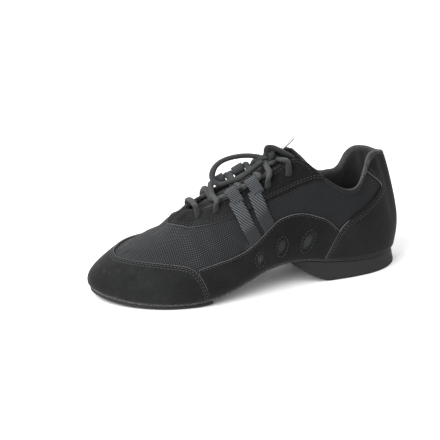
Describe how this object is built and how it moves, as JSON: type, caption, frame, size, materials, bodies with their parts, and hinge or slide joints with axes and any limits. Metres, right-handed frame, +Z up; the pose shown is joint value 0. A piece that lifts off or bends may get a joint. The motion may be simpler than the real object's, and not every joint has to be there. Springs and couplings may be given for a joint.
{
  "type": "dance sneaker",
  "caption": "Low laced dance sneaker for the left foot: mesh upper with suede overlays, elastic side straps, split sole with a low heel block and an open collar.",
  "frame": {"origin": "on the floor under the centre of the heel, on the heel's flat foot", "axes": "+X towards the toe, +Y towards the shoe's outer side, +Z up"},
  "size_m": [0.2594, 0.0975, 0.1109],
  "materials": {
    "rubber": "satin, fine moulded grid on the forefoot",
    "midsole": "smooth matt with a lighter trimmed edge",
    "lining": "soft padded textile",
    "mesh": "fine woven mesh, slight sheen",
    "suede": "short nap suede with lighter raw edges",
    "webbing": "ribbed elastic webbing",
    "cord": "braided oval cord",
    "aglet": "clear glossy tip"
  },
  "bodies": {
    "root": {"aglet": "aglet", "collar_lining": "lining", "eyestay": "suede", "heel": "rubber", "heel_counter": "suede", "insole": "lining", "lace_bar": "cord", "lace_cross_1": "cord", "lace_cross_2": "cord", "lace_cross_3": "cord", "lace_cross_4": "cord", "lace_end": "cord", "lace_knot": "cord", "lace_loop_front": "cord", "lace_loop_rear": "cord", "lace_top_bar": "cord", "midsole": "midsole", "mudguard_inner": "suede", "mudguard_outer": "suede", "outsole_forefoot": "rubber", "strap_front_inner": "webbing", "strap_front_outer": "webbing", "strap_rear_inner": "webbing", "strap_rear_outer": "webbing", "toe_cap": "suede", "tongue": "lining", "upper": "mesh"}
  },
  "joints": []
}
